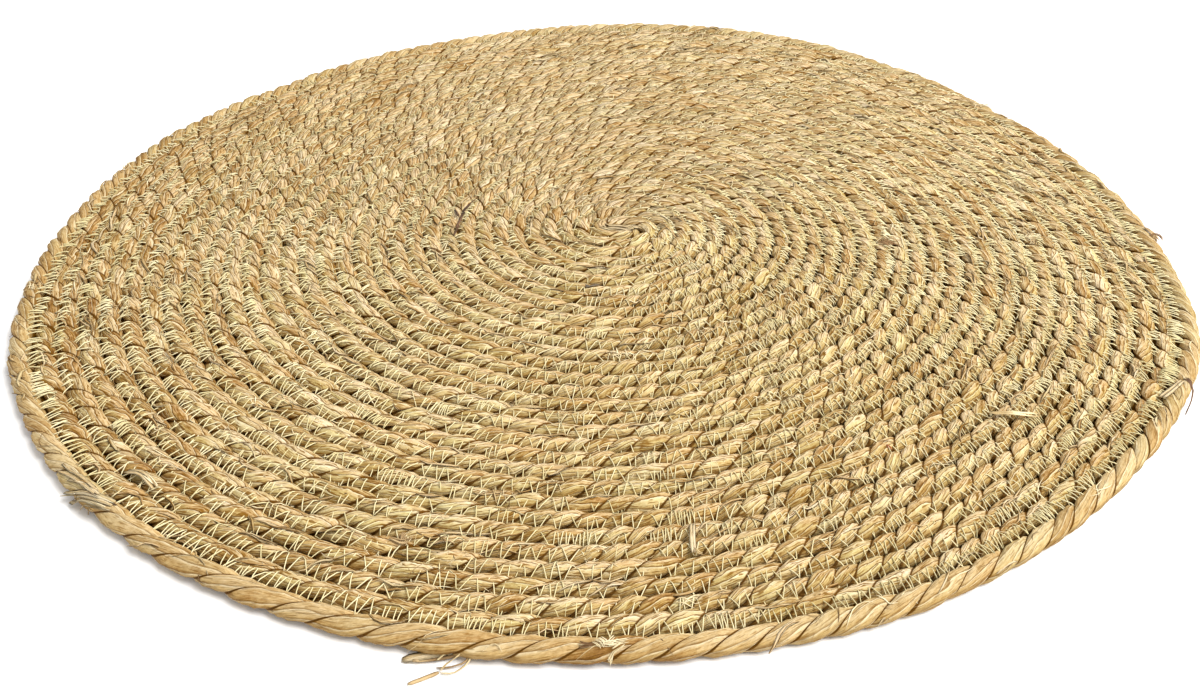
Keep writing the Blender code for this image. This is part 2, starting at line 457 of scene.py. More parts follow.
def course():
    """The rope in small steps: turns, length so far, and the twist so far, half a turn for each lump."""
    turns = np.linspace(0.0, TURNS, COURSE_STEPS)
    length = np.zeros(COURSE_STEPS)
    length[1:] = np.cumsum(np.linalg.norm(np.diff(at(turns, 0, 0), axis=0), axis=1))
    lump = np.interp(turns, *np.array(LUMP_LENGTHS).T)
    lay_drift = between(LAY_DRIFT, EDGE_LAY_DRIFT, edge_share(turns))
    lump *= 1 + lay_drift * drift(length, LAY_DRIFT_LENGTH, SEEDS.lay)
    twist = np.zeros(COURSE_STEPS)
    twist[1:] = np.cumsum(math.pi * np.diff(length) / lump[1:])
    twist += PHASE_DRIFT * drift(length, PHASE_DRIFT_LENGTH, SEEDS.phase)
    return turns, length, twist + (END_TWIST - twist[-1]) % math.tau


COURSE_TURNS, COURSE_LENGTH, COURSE_TWIST = course()


def length_at(turns):
    return np.interp(turns, COURSE_TURNS, COURSE_LENGTH)


def turns_at(length):
    return np.interp(length, COURSE_LENGTH, COURSE_TURNS)


def rope_at(turns):
    """The rope at these turns: how its middle lies, how it is twisted and how thick its strands are."""
    along = length_at(turns)
    twist = np.interp(turns, COURSE_TURNS, COURSE_TWIST)
    edge = edge_share(turns)
    angle = winding_angle(turns)
    # The creases at its sides are deeper at the mat's right than at its left.
    side_depth = CREASE_DEPTH_AT_SIDE + CREASE_SWING * np.cos(angle)
    top_depth = CREASE_DEPTH_ON_TOP - MIDDLE_FLATTER * np.exp(-turns / MIDDLE_TURNS)
    end = TAPERED_SHARE + (1 - TAPERED_SHARE) * eased((TURNS - turns) / TAPER_TURNS)
    start = CORE_SHARE + (1 - CORE_SHARE) * eased((turns - FIRST_TURN) / CORE_TURNS)
    taper = end * start
    half_width = between(ROW_HALF_WIDTH, EDGE_RADIUS, edge) * taper
    half_height = between(ROW_HALF_HEIGHT, EDGE_RADIUS, edge) * taper
    # Its rows touch at the left, where it is wider, and gape at the right, where it is narrower.
    own_width = LEFT_WIDER * toward(angle, math.pi) - RIGHT_NARROWER * toward(angle, 0)
    half_width += own_width * (1 - edge) * taper
    wander = ROW_WANDER * between(1, EDGE_WANDER_SHARE, edge) * drift(along, WANDER_LENGTH, SEEDS.wander)
    mat_rise = MAT_RISE * np.sin(MAT_RISE_WAVES * angle + turns / MAT_RISE_TURNS) * turns / TURNS
    rise = ROW_RISE * drift(along, RISE_LENGTH, SEEDS.rise) + mat_rise
    # Where the rope narrows at its end, its inner side stays against the turn before.
    wander -= (half_width / taper - half_width) * (turns > 1.5) + EDGE_DRAWN_IN * edge
    spread = between(SIZE_SPREAD, EDGE_SIZE_SPREAD, edge)
    lean = STRAND_LEAN * drift(along, STRAND_LEAN_LENGTH, SEEDS.lean)
    widths = [1 + lean, 1 - lean]

    def by_lump(seed):
        """For each strand, a value for each time it passes over the top, eased from one to the next."""
        return [drift(twist / math.tau + strand / 2, 1.0, seed + strand) for strand in (0, 1)]

    leans = [1 + LEAN_SIZE * (width - 1) for width in widths]
    sizes = [(1 + spread * size) * own for size, own in zip(by_lump(SEEDS.size), leans)]
    # The outer turn is reddest at the mat's front, and stretches of it are paler or darker.
    red = EDGE_RED * edge * near_angle(angle, *EDGE_RED_DEGREES)
    edge_pale = EDGE_PALE + EDGE_PALE_SWING * np.cos(2 * (angle - EDGE_PALE_AT))
    edge_pale += sum(change * near_angle(angle, middle, width) for middle, width, change in EDGE_STRETCHES)
    # Painted shade: the inner turns are darker at the right and the left, and most of all in the outer third
    # at the left.
    outer_third = np.clip(3 * turns / TURNS - 2, 0, 1)
    darker = RIGHT_PAINTED_SHADE * toward(angle, RIGHT_PAINTED_SHADE_AT) + LEFT_PAINTED_SHADE * toward(angle, math.pi)
    darker += LEFT_RIM_PAINTED_SHADE * toward(angle, LEFT_RIM_PAINTED_SHADE_AT) * outer_third
    pale = edge_pale * edge - darker * (1 - edge)
    return SimpleNamespace(
        along=along,
        facing=math.pi / 2 - twist,
        edge=edge,
        half_width=half_width,
        half_height=half_height,
        wander=wander,
        middle=half_height + ROW_LIFT + np.maximum(rise, -ROW_LIFT),
        pressed=between(PRESSED, EDGE_PRESSED, edge),
        top_depth=between(top_depth, EDGE_DEPTH_ON_TOP, edge),
        side_depth=between(side_depth, EDGE_DEPTH_AT_SIDE, edge),
        widths=widths,
        sizes=sizes,
        tones=[tone + pale for tone in by_lump(SEEDS.tone)],
        hues=[hue - red for hue in by_lump(SEEDS.hue)],
    )


def press(angle, share):
    """The strands of a rope that is sewn down lie flatter over its top and turn down faster at its sides."""
    return angle + share * np.sin(2 * angle)


def lobe(rope, angle, facing):
    """How far a strand's skin lies from the rope's middle, at this angle from the strand's own middle."""
    on_top, at_side = rope.top_depth[:, None], rope.side_depth[:, None]
    depth = on_top + (at_side - on_top) * np.cos(facing) ** 2
    return 1 - depth * np.abs(angle / (math.pi / 2)) ** CREASE_POWER


def skin(rope, reach, facing):
    """The skin's points, as distances outwards and upwards from the winding's course on the floor."""
    out = rope.half_width[:, None] * reach * np.cos(facing) + rope.wander[:, None]
    up = rope.half_height[:, None] * reach * np.sin(facing) + rope.middle[:, None]
    return out, up


def skin_angles(count):
    """The angles of a strand's skin points from its middle, closer together towards the creases."""
    share = np.linspace(-1, 1, count + 1)[:-1]
    return math.pi / 2 * np.sin(math.pi / 2 * share)


def top_of_rope(turns, outwards):
    """The height of the rope's upper skin at this distance outwards from its middle, or 0 beside it."""
    rope = rope_at(turns)
    around = np.linspace(TOP_MARGIN, math.pi - TOP_MARGIN, TOP_POINTS)
    own = around[None, :] - rope.facing[:, None]
    half_turn = math.pi / 2 * rope.widths[0][:, None]
    own = (own + half_turn) % math.tau - half_turn
    first = own < half_turn
    own = np.where(first, own / rope.widths[0][:, None], (own - math.pi) / rope.widths[1][:, None])
    facing = press(around[None, :], rope.pressed[:, None])
    reach = lobe(rope, own, facing) * np.where(first, rope.sizes[0][:, None], rope.sizes[1][:, None])
    out, up = skin(rope, reach, facing)
    nearest = np.abs(out - outwards[:, None]).argmin(axis=1)
    rows = np.arange(len(turns))
    beside = np.abs(out[rows, nearest] - outwards) > TOP_NEAR
    return np.where(beside, 0.0, up[rows, nearest])


def top_of_mat(turns, outwards):
    """The height of whichever turn is higher here, for a place between one turn and the next."""
    inner = top_of_rope(turns, outwards)
    has_next = turns + 1 <= TURNS
    following = np.minimum(turns + 1, TURNS)
    beyond = outwards - (row_radius(following) - row_radius(turns))
    outer = np.where(has_next, top_of_rope(following, beyond), 0.0)
    return np.maximum(inner, outer)


def over_mat(line, clear):
    """The same points, lifted where they would lie inside the mat."""
    angle = np.arctan2(line[:, 1], line[:, 0])
    first = TURNS - ((angle - END_ANGLE) % math.tau) / math.tau
    turns = first[:, None] - np.arange(0, math.floor(TURNS))
    outwards = np.hypot(line[:, 0], line[:, 1])[:, None] - row_radius(turns)
    outwards[turns < FIRST_TURN] = 1.0
    nearest = np.abs(outwards).argmin(axis=1)
    rows = np.arange(len(line))
    top = top_of_rope(turns[rows, nearest], outwards[rows, nearest])
    lifted = line.copy()
    lifted[:, 2] = np.maximum(line[:, 2], top + clear)
    return lifted


def mesh_piece(name, points, faces, finish, smooth=True):
    """A mesh object from an array of points and from arrays of faces, one array for each number of sides."""
    data = bpy.data.meshes.new(name)
    corners = np.concatenate([group.ravel() for group in faces]).astype(np.int32)
    sides = np.concatenate([np.full(len(group), group.shape[1]) for group in faces])
    data.vertices.add(len(points))
    data.vertices.foreach_set("co", np.asarray(points, np.float32).ravel())
    data.loops.add(len(corners))
    data.loops.foreach_set("vertex_index", corners)
    data.polygons.add(len(sides))
    data.polygons.foreach_set("loop_start", (np.cumsum(sides) - sides).astype(np.int32))
    data.update(calc_edges=True)
    if smooth:
        data.shade_smooth()
    data.materials.append(finish)
    item = bpy.data.objects.new(name, data)
    bpy.context.scene.collection.objects.link(item)
    return item


def add_map(item, name, places):
    """A UV map from a place for each corner."""
    layer = item.data.uv_layers.new(name=name)
    layer.uv.foreach_set("vector", np.asarray(places, np.float32).ravel())


def add_facts(item, name, values):
    """Three numbers for each corner, for the finish to read."""
    layer = item.data.attributes.new(name, "FLOAT_VECTOR", "CORNER")
    layer.data.foreach_set("vector", np.asarray(values, np.float32).ravel())


def ring_faces(rings, columns):
    """The quads of a closed tube whose points run around each ring in turn."""
    ring = np.arange(rings - 1)[:, None]
    column = np.arange(columns)[None, :]
    following = (column + 1) % columns
    here = ring * columns
    there = here + columns
    return np.stack([here + column, here + following, there + following, there + column], axis=-1)


def sharpen(item, columns, per_strand):
    """Marks the edges along the creases between the strands as sharp."""
    edges = np.empty(2 * len(item.data.edges), np.int32)
    item.data.edges.foreach_get("vertices", edges)
    column = edges.reshape(-1, 2) % columns
    sharp = (column[:, 0] == column[:, 1]) & (column[:, 0] % per_strand == 0)
    layer = item.data.attributes.new("sharp_edge", "BOOLEAN", "EDGE")
    layer.data.foreach_set("value", sharp)


def rope_piece(name, first, last, spacing, per_strand, finish):
    """A stretch of the rope as one closed tube, whose columns of faces follow the two strands."""
    ends = length_at((first, last))
    rings = int((ends[1] - ends[0]) / spacing) + 2
    turns = turns_at(np.linspace(*ends, rings))
    rope = rope_at(turns)
    own = skin_angles(per_strand)
    columns = 2 * per_strand
    strand = np.repeat((0, 1), per_strand)
    angle = np.tile(own, 2) * np.stack(rope.widths, axis=1)[:, strand] + math.pi * strand
    size = np.stack(rope.sizes, axis=1)[:, strand]
    for crease in (0, per_strand):
        size[:, crease] = (rope.sizes[0] + rope.sizes[1]) / 2
    for column in range(columns):
        size[:, column] *= 1 + BULGE * drift(rope.along, BULGE_LENGTH, SEEDS.bulge + column)
    facing = press(rope.facing[:, None] + angle, rope.pressed[:, None])
    reach = lobe(rope, np.tile(own, 2)[None, :], facing) * size
    out, up = skin(rope, reach, facing)
    points = at(np.repeat(turns, columns), out.ravel(), np.maximum(up, FLOOR_GAP).ravel())
    quads = ring_faces(rings, columns)
    caps = np.stack([np.arange(columns)[::-1], np.arange(columns) + (rings - 1) * columns])
    item = mesh_piece(name, points, [quads.reshape(-1, 4), caps], finish)
    sharpen(item, columns, per_strand)

    # Each face lies on one strand: how far across it, how far along it, and the strand's own facts.
    left = own / (math.pi / 2)
    right = np.append(left[1:], 1.0)
    left = np.tile(left, 2)
    right = np.tile(right, 2)
    across = np.broadcast_to(np.stack([left, right, right, left], axis=-1), (rings - 1, columns, 4))
    ring = np.arange(rings - 1)[:, None, None] + np.array([0, 0, 1, 1])[None, None, :]
    ring = np.broadcast_to(ring, (rings - 1, columns, 4))
    which = np.broadcast_to(strand[None, :, None], ring.shape)
    along = rope.along[ring] * STRAND_TRAVEL * MM_PER_METRE + which * STRAND_START
    tone = np.stack(rope.tones)[which, ring]
    hue = np.stack(rope.hues)[which, ring]
    # How steep the skin is, by which the finish paints shade and tints the seam side: over 0 on a turn's
    # outer flank and under 0 on its inner one. No turn stands before the outer turn's outer flank, so that
    # one counts as an inner flank and gets no painted flank shade.
    down = (1 - np.clip(np.sin(facing), 0, 1)) * np.sign(np.cos(facing))
    down *= 1 - 2 * rope.edge[:, None] * (np.cos(facing) > 0)
    following = np.append(np.arange(1, columns), 0)
    corner = np.stack([np.arange(columns), following, following, np.arange(columns)], axis=-1)
    down = down[ring, np.broadcast_to(corner, ring.shape)]
    places = np.stack([across * HALF_SKIN, along], axis=-1).reshape(-1, 2)
    facts = np.stack([tone, hue, down], axis=-1).reshape(-1, 3)
    # The last two faces close the tube's ends.
    add_map(item, "strand", np.concatenate([places, np.zeros((2 * columns, 2))]))
    add_facts(item, "lump", np.concatenate([facts, np.zeros((2 * columns, 3))]))
    return item


def stitch_places(first, last, seed):
    """The seam's corners in order: two by the next turn, then two on this turn."""
    random = np.random.default_rng(seed)
    place, end = length_at((first, last))
    edge_starts = length_at(TURNS - 2 + EDGE_SWELL_TURNS)
    corners = []
    dense_until = 0.0
    while place < end:
        if place > dense_until and random.random() < DENSE_CHANCE:
            dense_until = place + random.uniform(*DENSE_LENGTHS)
        step = EDGE_STITCH_STEP if place > edge_starts else STITCH_STEP
        # The stitches are shorter at the mat's left and right.
        toward_right = math.cos(winding_angle(turns_at(place)))
        step *= 1 - max(RIGHT_CLOSER * toward_right, -LEFT_CLOSER * toward_right)
        step *= DENSE_SHARE if place < dense_until else 1.0
        step *= max(1 + STITCH_SPREAD * random.normal(), SHORTEST_STITCH)
        spread = CORNER_SPREAD + LEFT_CORNER_SPREAD * max(-toward_right, 0)
        shares = np.array(CORNER_PLACES) + spread * random.normal(size=4).clip(-CORNER_MOST, CORNER_MOST)
        corners.append(place + step * shares)
        place += step
    turns = turns_at(corners)
    step_out = row_radius(turns + 1) - row_radius(turns)
    angle = winding_angle(turns)
    middle = MIDDLE_SHORT * np.exp(-turns / MIDDLE_SHORT_TURNS)
    near = INNER_REACH + RIGHT_SHORT_INSIDE * toward(angle, 0) + middle
    near += BACK_SHORT_INSIDE * toward(angle, BACK_SHORT_AT)
    near += INNER_SPREAD * random.normal(size=turns.shape).clip(-REACH_MOST, REACH_MOST)
    far = step_out - OUTER_SHORT + RIGHT_LONG_OUTSIDE * toward(angle, 0) - MIDDLE_SHORT_OUTSIDE * middle
    far += OUTER_SPREAD * random.normal(size=turns.shape).clip(-REACH_MOST, REACH_MOST)
    return turns, np.where(np.arange(4) < 2, far, near)


def seam_piece(name, first, last, finish, seed):
    """A stretch of the sewing thread, which dips into the rope at each end of a stitch."""
    turns, outwards = stitch_places(first, last, seed)
    share = np.array((0.0,) + LEG_POINTS + (1.0,))

    def legs(values):
        """Points along each leg that shows: in to this turn, and out to the next one."""
        begin = np.stack([values[:-1, 1], values[:-1, 3]], axis=1)[..., None]
        close = np.stack([values[:-1, 2], values[1:, 0]], axis=1)[..., None]
        return begin + (close - begin) * share

    leg_turns = legs(turns)
    leg_out = legs(outwards)
    surface = top_of_mat(leg_turns.ravel(), leg_out.ravel()).reshape(leg_turns.shape)
    # Where a stitch misses both turns, it ends on the bed between them.
    surface = np.maximum(surface, BED_GROOVE)
    begin, close = surface[..., :1] + THREAD_CLEAR, surface[..., -1:] + THREAD_CLEAR
    chord = begin + (close - begin) * share - LEG_SAG * 4 * share * (1 - share)
    height = np.maximum(chord, surface + THREAD_CLEAR)
    height[..., (0, -1)] = surface[..., (0, -1)] - STITCH_DEPTH
    line = at(leg_turns.ravel(), leg_out.ravel(), height.ravel())
    return tubes(name, line[None], np.full((1, len(line)), THREAD_RADIUS), finish)


def stray_piece(name, count, radius_reach, length_reach, finish, seed, is_blade):
    """Slivers that have come away from the strands and lie along the rows, their ends a little raised."""
    random = np.random.default_rng(seed)
    ends = length_at(STRAY_REACH)
    # Some lie alone and some around rough spots, which are the same spots for every tone.
    spots = np.random.default_rng(SEEDS.rough_spots).uniform(*ends, ROUGH_SPOTS)
    alone = random.random(count) > ROUGH_SHARE * (not is_blade)
    around_spot = random.choice(spots, count) + random.normal(0, ROUGH_LENGTH, count)
    middle = np.where(alone, random.uniform(*ends, count), around_spot.clip(*ends))
    beside = random.normal(*STRAY_BESIDE, count).clip(-STRAY_FARTHEST, STRAY_FARTHEST)
    slant = random.normal(STRAY_SLANT, np.where(alone, STRAY_SLANT_SPREAD, ROUGH_SLANT_SPREAD), count)
    slant = STRAY_SLANT + BLADE_SLANT_SHARE * (slant - STRAY_SLANT) if is_blade else slant
    length = random.uniform(*length_reach, count) * np.where(alone, 1.0, ROUGH_SHORTER)
    share = np.linspace(-0.5, 0.5, STRAY_POINTS)
    curl = random.normal(0, STRAY_CURL, count)
    aim = slant[:, None] + curl[:, None] * share * 2
    along = middle[:, None] + length[:, None] * share * np.cos(slant)[:, None]
    outwards = beside[:, None] + length[:, None] * share * np.sin(aim)
    turns = turns_at(along)
    surface = top_of_mat(turns.ravel(), outwards.ravel()).reshape(turns.shape)
    surface = np.maximum(surface, surface.mean(axis=1, keepdims=True) - STRAY_DIP)
    lift = random.gamma(STRAY_LIFT_SHAPE, STRAY_LIFT, (count, 2))
    lift = lift * (random.random((count, 2)) < STRAY_LIFT_SHARE) - STRAY_SUNK
    lift *= BLADE_LIFT_SHARE if is_blade else 1
    run = share + 0.5
    height = surface + STRAY_CLEAR + lift[:, :1] * (1 - run) ** 3 + lift[:, 1:] * run**3
    lines = at(turns.ravel(), outwards.ravel(), height.ravel()).reshape(count, STRAY_POINTS, 3)
    lost, power = STRAY_TAPER
    radius = random.uniform(*radius_reach, (count, 1)) * (1 - lost * np.abs(2 * share) ** power)
    if is_blade:
        tones = random.uniform(-1, 1, (count, 3)) * (1, 1, 0)
        return tubes(name, lines, radius, finish, flat=BLADE_FLAT, tones=tones)
    return tubes(name, lines, radius, finish, flat=STRAY_FLAT)


def frayed_lines(frays, seed, on_mat):
    """The slivers of each bundle: they fan out from its start, and end at different places."""
    random = np.random.default_rng(seed)
    share = np.linspace(0, 1, FRAY_POINTS)
    lines, radii = [], []
    for _, count, spread, end_spread, width, *bends in frays:
        bends = np.array(bends) / MM_PER_METRE
        places = np.linspace(0, 1, len(bends))
        middle = Vector(bends[-1] - bends[0])
        across = np.array(middle.cross((0, 0, 1)).normalized())
        for number in range(count):
            own = 0.0 if count == 1 else 2 * number / (count - 1) - 1
            own += random.normal(0, FRAY_UNEVEN) * (count > 1)
            begin = random.uniform(*FRAY_STARTS)
            stop = random.uniform(*FRAY_ENDS)
            if count < 3:
                begin, stop = 0.0, 1.0
            where = begin + (stop - begin) * share
            # A curve through the bends, rounded off at each of them.
            steps = np.linspace(0, 1, FRAY_STEPS)
            corner = np.stack([np.interp(steps, places, axis) for axis in bends.T], axis=-1)
            for _ in range(FRAY_ROUNDINGS):
                corner[1:-1] = (corner[:-2] + 2 * corner[1:-1] + corner[2:]) / 4
            line = np.stack([np.interp(where, steps, axis) for axis in corner.T], axis=-1)
            fan = (spread + (end_spread - spread) * where) / MM_PER_METRE * own
            fan += FRAY_WAVER * random.normal() * where**2
            line += fan[:, None] * across
            line[:, 2] += random.uniform(-FRAY_SHIFT, FRAY_SHIFT) + FRAY_WAVER * random.normal() * where**2
            line[:, 2] = np.maximum(line[:, 2], FRAY_FLOOR_CLEAR)
            lines.append(over_mat(line, FRAY_CLEAR) if on_mat else line)
            lost, power = BLADE_TAPER if width > BLADE_FROM_WIDTH else SLIVER_TAPER
            taper = 1 - lost * np.abs(2 * share - 1) ** power
            radii.append(width / (2 * MM_PER_METRE) * random.uniform(*FRAY_WIDTHS) * taper)
    return np.stack(lines), np.stack(radii)


def fray_pieces(name, frays, finishes, seed, on_mat=True):
    """One piece for each tone among these bundles."""
    pieces = []
    for number, tone in enumerate(dict.fromkeys(fray[0] for fray in frays)):
        lines, radii = frayed_lines([fray for fray in frays if fray[0] == tone], seed + number, on_mat)
        tones = None
        if tone == "leaf":
            tones = np.random.default_rng(seed).uniform(*LEAF_TONES, (len(lines), 3)) * (1, 1, 0)
        flat = LEAF_FLAT if tone == "leaf" else SLIVER_FLAT
        pieces.append(tubes(name + "_" + tone, lines, radii, finishes[tone], sides=4, flat=flat, tones=tones))
    return pieces


def tubes(name, lines, radii, finish, sides=3, flat=1.0, tones=None):
    """Thin closed tubes along lines of the same number of points, joined in one piece."""
    count, rings, _ = lines.shape
    run = np.gradient(lines, axis=1)
    run /= np.maximum(np.linalg.norm(run, axis=2, keepdims=True), 1e-12)
    side = np.cross(run, (0.0, 0.0, 1.0))
    side /= np.maximum(np.linalg.norm(side, axis=2, keepdims=True), 1e-12)
    over = np.cross(side, run)
    angle = math.pi / 2 + math.tau * np.arange(sides) / sides
    around = side[:, :, None] * np.cos(angle)[:, None] + over[:, :, None] * (flat * np.sin(angle))[:, None]
    points = lines[:, :, None] + radii[:, :, None, None] * around
    per_tube = rings * sides
    start = (np.arange(count) * per_tube)[:, None, None, None]
    quads = ring_faces(rings, sides)[:, :, ::-1][None] + start
    cap = np.arange(sides)
    caps = np.stack([cap, cap[::-1] + per_tube - sides]) + start[:, 0]
    item = mesh_piece(name, points.reshape(-1, 3), [quads.reshape(-1, 4), caps.reshape(-1, sides)], finish)
    if tones is not None:
        # The straw finish reads how far across and along its blade a point lies, and the blade's own tone.
        corner = np.concatenate([quads.ravel(), caps.ravel()])
        across = MM_PER_METRE * radii[:, :, None] * np.cos(angle) + np.zeros((count, rings, 1))
        steps = np.linalg.norm(np.diff(lines, axis=1, prepend=lines[:, :1]), axis=2)
        starts = BLADE_START * np.arange(count)[:, None, None]
        along = MM_PER_METRE * np.cumsum(steps, axis=1)[:, :, None] + starts
        places = np.stack([across, along + 0 * across], axis=-1).reshape(-1, 2)
        add_map(item, "strand", places[corner])
        add_facts(item, "lump", np.repeat(tones, per_tube, axis=0)[corner])
    return item


class Finish:
    """A material in the making, with short calls for the nodes that the finishes share."""

    def __init__(self, name):
        self.material = bpy.data.materials.new(name)
        self.material.use_nodes = True
        self.tree = self.material.node_tree
        self.shader = self.tree.nodes["Principled BSDF"]

    def feed(self, socket, value):
        if isinstance(value, bpy.types.NodeSocket):
            self.tree.links.new(value, socket)
        else:
            socket.default_value = value

    def node(self, kind, inputs, **settings):
        made = self.tree.nodes.new(kind)
        for setting, value in settings.items():
            setattr(made, setting, value)
        for socket, value in inputs.items():
            self.feed(made.inputs[socket], value)
        return made

    def place(self):
        return self.node("ShaderNodeTexCoord", {}).outputs["Object"]

    def calc(self, operation, *values, clamp=False):
        inputs = dict(enumerate(values))
        return self.node("ShaderNodeMath", inputs, operation=operation, use_clamp=clamp).outputs[0]

    def scaled(self, value, factor, plus=0.0, clamp=False):
        """A value times a factor, plus another."""
        return self.calc("MULTIPLY_ADD", value, factor, plus, clamp=clamp)

    def swing(self, share, reach, value, clamp=False):
        """A value moved by how far a share lies from a half."""
        return self.scaled(self.calc("SUBTRACT", share, 0.5), reach, value, clamp)

    def span(self, value, low, high, to_low=0.0, to_high=1.0):
        """A value's place between two others, eased, as a number between two more."""
        names = ("Value", "From Min", "From Max", "To Min", "To Max")
        inputs = dict(zip(names, (value, low, high, to_low, to_high)))
        return self.node("ShaderNodeMapRange", inputs, interpolation_type="SMOOTHSTEP").outputs[0]

    def parts(self, vector):
        return self.node("ShaderNodeSeparateXYZ", {0: vector}).outputs

    def vector(self, x, y):
        return self.node("ShaderNodeCombineXYZ", {0: x, 1: y}).outputs[0]

    def noise(self, where, scale, detail=2.0, roughness=0.5):
        inputs = {"Vector": where, "Scale": scale, "Detail": detail, "Roughness": roughness}
        return self.node("ShaderNodeTexNoise", inputs).outputs["Fac"]

    def ramp(self, share, stops):
        made = self.node("ShaderNodeValToRGB", {0: share})
        elements = made.color_ramp.elements
        while len(elements) < len(stops):
            elements.new(0.5)
        for element, (place, color) in zip(elements, stops):
            element.position = place
            element.color = (*color, 1)
        return made.outputs[0]

    def mix(self, share, one, other, blend="MIX"):
        made = self.node("ShaderNodeMix", {}, data_type="RGBA", blend_type=blend)
        for socket, value in ((made.inputs[0], share), (made.inputs[6], one), (made.inputs[7], other)):
            self.feed(socket, value)
        return made.outputs[2]

    def surface(self, color, roughness, gloss=0.5, relief=None, depth=0.0):
        """Feeds the shader, with a bump where there is a relief, and gives the finished material."""
        inputs = {"Base Color": color, "Roughness": roughness, "Specular IOR Level": gloss}
        if relief is not None:
            bump = {"Height": relief, "Distance": depth, "Strength": 1.0}
            inputs["Normal"] = self.node("ShaderNodeBump", bump).outputs[0]
        for socket, value in inputs.items():
            self.feed(self.shader.inputs[socket], value)
        return self.material


STRAW_STOPS = (
    (0.00, (0.130, 0.054, 0.010)),
    (0.20, (0.320, 0.178, 0.055)),
    (0.40, (0.485, 0.335, 0.148)),
    (0.60, (0.605, 0.465, 0.250)),
    (0.80, (0.695, 0.567, 0.355)),
    (1.00, (0.770, 0.665, 0.470)),
)
GREEN_TINT = (0.965, 0.985, 0.92, 1)
RED_TINT = (1.0, 0.945, 0.895, 1)
SEAM_TINT = (0.98, 1.0, 0.86, 1)
SHADE_TINT = (0.98, 0.92, 0.75, 1)
# Painted shade: the dark colour of the thin shadows past the blade edges, of the crease gaps and of the
# rope's steep sides.
PAINTED_SHADE_COLOR = (0.110, 0.042, 0.000, 1)
LINE_COLOR = (0.190, 0.083, 0.004, 1)
# Painted highlight along each blade's edge: its colour, and how much of it is mixed in.
PAINTED_HIGHLIGHT_COLOR = (0.800, 0.700, 0.470, 1)
PAINTED_HIGHLIGHT_SHARE = 0.45
# Painted shade on the rows' outer flanks, which grows towards the mat's front.
FLANK_SHADE_COLOR = (0.220, 0.115, 0.030, 1)
FLANK_SHADE = 0.08
FLANK_SWING = 1.9
# Painted shade in the creases: how far its dark gap opens at the sides and how much further towards the mat's
# right, where it is fully dark, and how dark that is.
GAP_OPENING = 0.17
GAP_SWING = 0.15
CREASE_DARK_FROM = 0.975
CREASE_SHADE = 0.98

# How much each of these moves the straw's tone, as a share of the way from its darkest colour to its palest.
LUMP_TONE = 0.17
BLADE_TONE = 0.26
# Painted shading: how much lighter each blade grows towards its edge.
SHINGLE_SHADING = 0.24
FIBRE_TONE = 1.40
SPECK_TONE = 0.50
BLADE_HUE = 0.7

# The straw's patterns, in repeats a millimetre across and along a strand.
WAVER_SCALE = (0.35, 0.06)
FIBRE_SCALE = (2.6, 0.14)
LINE_SCALE = (3.4, 0.20)
SPECK_SCALE = (1.0, 0.5)
BLADE_WAVER = 3.2
LINE_WAVER = 4.0
BLADES_ALONG = 0.030
BLADE_STAGGER = 7.31

# The rope's straw, and in what the outer turn's, a loose blade's and a broad leaf's differ from it.
STRAW_LOOK = dict(
    crest_tint=(1.0, 0.980, 0.975, 1), fibre_turn=0.60, tone_middle=0.575, tone_reach=1.00, roughness=0.60,
    blades=0.75, blade_shade=0.80, line_shade=0.85, crease_starts=0.875, gap_share=1.0,
)
OTHER_LOOKS = {
    "edge_straw": dict(
        crest_tint=(1.0, 1.0, 0.98, 1), fibre_turn=0.36, tone_middle=0.42, tone_reach=0.62, roughness=0.50,
        blades=0.40, blade_shade=0.45, line_shade=0.50, crease_starts=0.925, gap_share=0.35,
    ),
    "loose_blade": dict(
        fibre_turn=0.0, tone_middle=0.58, tone_reach=1.05, blades=0.80, line_shade=0.80, crease_starts=0.87,
    ),
    "loose_leaf": dict(
        fibre_turn=0.0, tone_middle=0.64, tone_reach=0.80, blades=0.80, blade_shade=0.30, line_shade=0.35,
        crease_starts=0.95,
    ),
}


